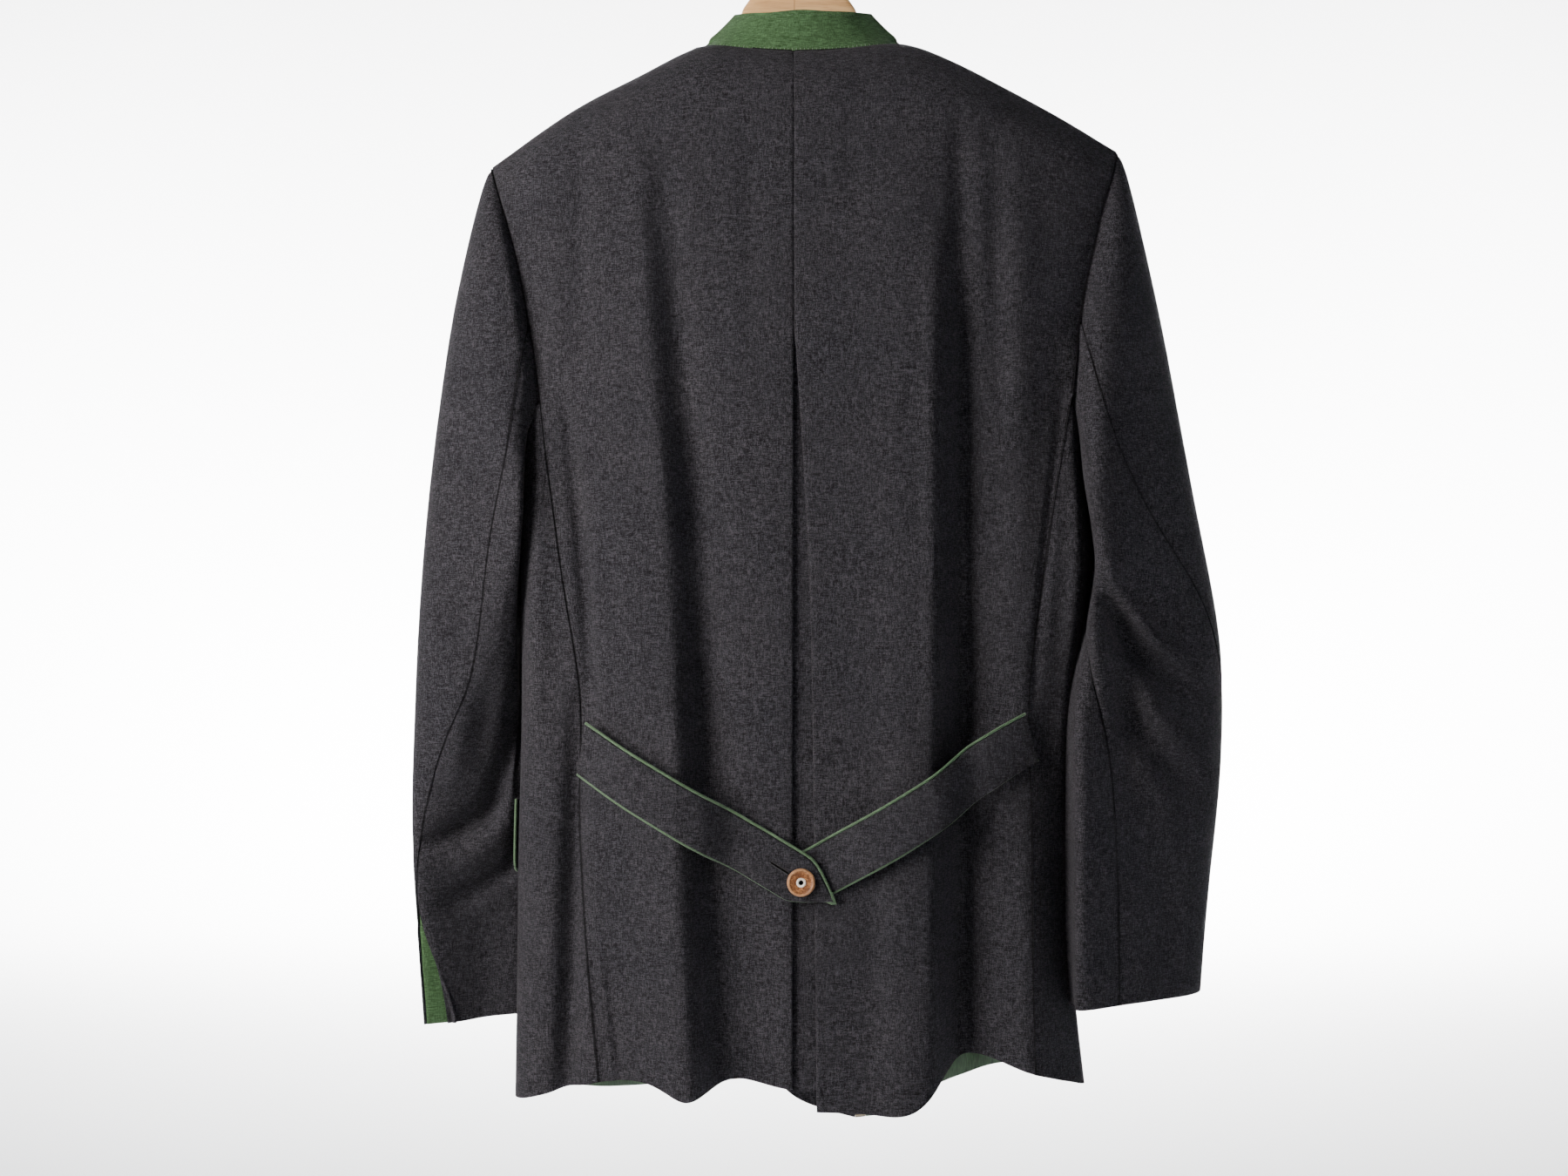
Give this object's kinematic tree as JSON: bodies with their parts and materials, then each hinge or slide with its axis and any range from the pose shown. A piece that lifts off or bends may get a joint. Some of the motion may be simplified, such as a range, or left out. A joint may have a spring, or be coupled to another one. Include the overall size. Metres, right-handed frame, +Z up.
{
  "type": "tyrolean loden jacket on a wooden hanger",
  "caption": "Man's charcoal wool jacket with a green standing collar, back pleat and V-shaped half belt, hung buttoned on a wooden hanger.",
  "frame": {"origin": "the point inside the hanger's hook where it bears on a rail", "axes": "+Z up, the jacket's front faces -Y and the wearer's left side is +X"},
  "size_m": [0.619, 0.1686, 0.9413],
  "materials": {
    "wool": "charcoal melange wool, milled and matt",
    "linen": "green slubbed linen",
    "lining": "dark green satin-backed lining",
    "piping": "green woven piping",
    "braid": "cream and brown striped braid",
    "horn": "polished stag horn",
    "wood": "pale varnished beech",
    "steel": "bright steel wire"
  },
  "bodies": {
    "root": {"back_left": "wool", "back_right": "wool", "pleat_underlay": "wool", "side_left": "wool", "side_right": "wool", "front_left": "wool", "front_right": "wool", "facing_left": "wool", "facing_right": "wool", "braid_left": "braid", "braid_right": "braid", "lining_left": "lining", "lining_right": "lining", "collar": "linen", "top_sleeve_left": "wool", "top_sleeve_right": "wool", "under_sleeve_left": "wool", "under_sleeve_right": "wool", "vent_facing_left": "linen", "belt_left": "wool", "belt_right": "wool", "belt_left_piping": "piping", "belt_right_piping_top": "piping", "belt_right_piping_low": "piping", "flap_left": "wool", "flap_right": "wool", "flap_left_piping": "piping", "flap_right_piping": "piping", "belt_button": "horn", "front_button_1": "horn", "front_button_2": "horn", "front_button_3": "horn", "front_button_4": "horn", "front_button_5": "horn", "hanger": "wood", "hook": "steel"}
  },
  "joints": []
}
